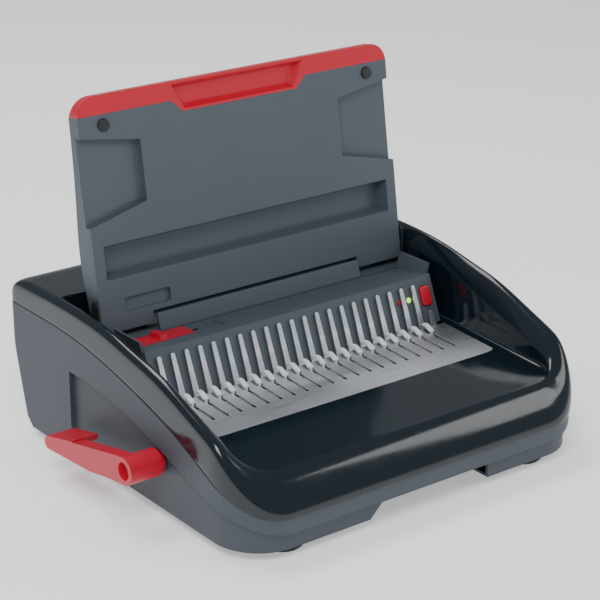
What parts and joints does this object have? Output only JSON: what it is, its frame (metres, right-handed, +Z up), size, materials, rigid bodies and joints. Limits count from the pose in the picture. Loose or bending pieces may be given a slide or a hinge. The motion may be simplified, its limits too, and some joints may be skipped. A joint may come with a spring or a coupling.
{
  "type": "comb binding machine",
  "caption": "Electric comb punch and binding machine with its lid open, a row of steel fingers over a metal tray and a red side lever.",
  "frame": {"origin": "middle of the overall box, on the table", "axes": "+Z up, -Y towards the user, +X to the user's right"},
  "size_m": [0.419, 0.374, 0.33],
  "materials": {
    "housing_grey": "matt moulded",
    "lid_grey": "matt moulded",
    "gloss_navy": "high gloss",
    "red_gloss": "gloss",
    "red_satin": "satin",
    "tray_metal": "satin",
    "finger_metal": "satin",
    "hook_white": "satin",
    "black_plastic": "matt",
    "foot_rubber": "matt",
    "steel_plate": "zinc plated",
    "shaft_steel": "ground",
    "aluminium_bar": "machined",
    "gear_nylon": "satin",
    "board_green": "satin",
    "lamp_green": "clear tinted",
    "lamp_red": "clear tinted",
    "transformer_iron": "varnished"
  },
  "bodies": {
    "machine": {"base_plate": "black_plastic", "bearing_foot_left": "steel_plate", "bearing_foot_right": "steel_plate", "die_plate": "steel_plate", "drawer_runner_front": "black_plastic", "drawer_runner_rear": "black_plastic", "finger_comb": "finger_metal", "foot_front_left": "foot_rubber", "foot_front_right": "foot_rubber", "foot_rear_left": "foot_rubber", "foot_rear_right": "foot_rubber", "frame_side_left": "steel_plate", "frame_side_right": "steel_plate", "hinge_ear_left": "black_plastic", "hinge_ear_right": "black_plastic", "housing": "housing_grey", "lamp_board": "board_green", "lamp_fault": "lamp_red", "lamp_ready": "lamp_green", "micro_switch": "black_plastic", "motor": "steel_plate", "motor_bracket": "aluminium_bar", "panel": "lid_grey", "power_board": "board_green", "power_inlet": "black_plastic", "punch_guide": "steel_plate", "rocker_frame": "black_plastic", "shaft_bearing_left": "steel_plate", "shaft_bearing_right": "steel_plate", "shaft_bush": "black_plastic", "shelf": "lid_grey", "top_cover": "gloss_navy", "transformer": "transformer_iron", "tray": "tray_metal", "upstand": "lid_grey"},
    "lid": {"lid_panel": "lid_grey", "lid_trim": "red_gloss", "lid_bumper_left": "black_plastic", "lid_bumper_right": "black_plastic", "hinge_pin_left": "shaft_steel", "hinge_pin_right": "shaft_steel"},
    "ring_lever": {"lever_handle": "red_satin", "lever_shaft": "shaft_steel", "lever_pinion_left": "gear_nylon", "lever_pinion_right": "gear_nylon"},
    "hooks": {"hook_bar": "hook_white"},
    "button": {"punch_button": "red_gloss"},
    "slider": {"margin_slider": "red_satin"},
    "cam": {"cam_shaft": "shaft_steel", "eccentric_left": "shaft_steel", "eccentric_right": "shaft_steel", "cam_gear": "gear_nylon"},
    "punch": {"punch_bar": "aluminium_bar"},
    "rotor": {"motor_pinion": "shaft_steel"},
    "drawer": {"chip_drawer": "housing_grey"},
    "rocker": {"power_rocker": "black_plastic"}
  },
  "joints": [
    {"name": "lid_hinge", "type": "hinge", "parent": "machine", "child": "lid", "pos_m": [0.0165, 0.066, 0.148], "axis": [1, 0, 0], "range_deg": [0, 106]},
    {"name": "lever_turn", "type": "hinge", "parent": "machine", "child": "ring_lever", "pos_m": [0.0165, -0.058, 0.054], "axis": [1, 0, 0], "range_deg": [0, 100]},
    {"name": "hook_slide", "type": "slide", "parent": "machine", "child": "hooks", "axis": [0, -1, 0], "range_m": [0, 0.02356]},
    {"name": "button_press", "type": "slide", "parent": "machine", "child": "button", "axis": [0, 0.922, -0.3872], "range_m": [0, 0.0018], "stiffness_N_per_m": 300},
    {"name": "margin_slide", "type": "slide", "parent": "machine", "child": "slider", "axis": [1, 0, 0], "range_m": [0, 0.033]},
    {"name": "cam_turn", "type": "hinge", "parent": "machine", "child": "cam", "pos_m": [0.0165, 0.0827, 0.08], "axis": [1, 0, 0], "range_deg": [0, 180]},
    {"name": "punch_slide", "type": "slide", "parent": "machine", "child": "punch", "axis": [0, -1, 0], "range_m": [0, 0.008]},
    {"name": "motor_turn", "type": "hinge", "parent": "machine", "child": "rotor", "pos_m": [0.0165, 0.11831, 0.06704], "axis": [1, 0, 0], "range_deg": [-720, 0]},
    {"name": "drawer_slide", "type": "slide", "parent": "machine", "child": "drawer", "axis": [1, 0, 0], "range_m": [0, 0.22]},
    {"name": "power_rock", "type": "hinge", "parent": "machine", "child": "rocker", "pos_m": [-0.0435, 0.1715, 0.06012], "axis": [1, 0, 0], "range_deg": [-8, 8]}
  ],
  "couplings": [
    {"joint": "hook_slide", "follows": "lever_turn", "m_per_rad": 0.0135},
    {"joint": "punch_slide", "follows": "cam_turn", "m_per_rad": 0.0025465},
    {"joint": "motor_turn", "follows": "cam_turn", "ratio": -4}
  ]
}
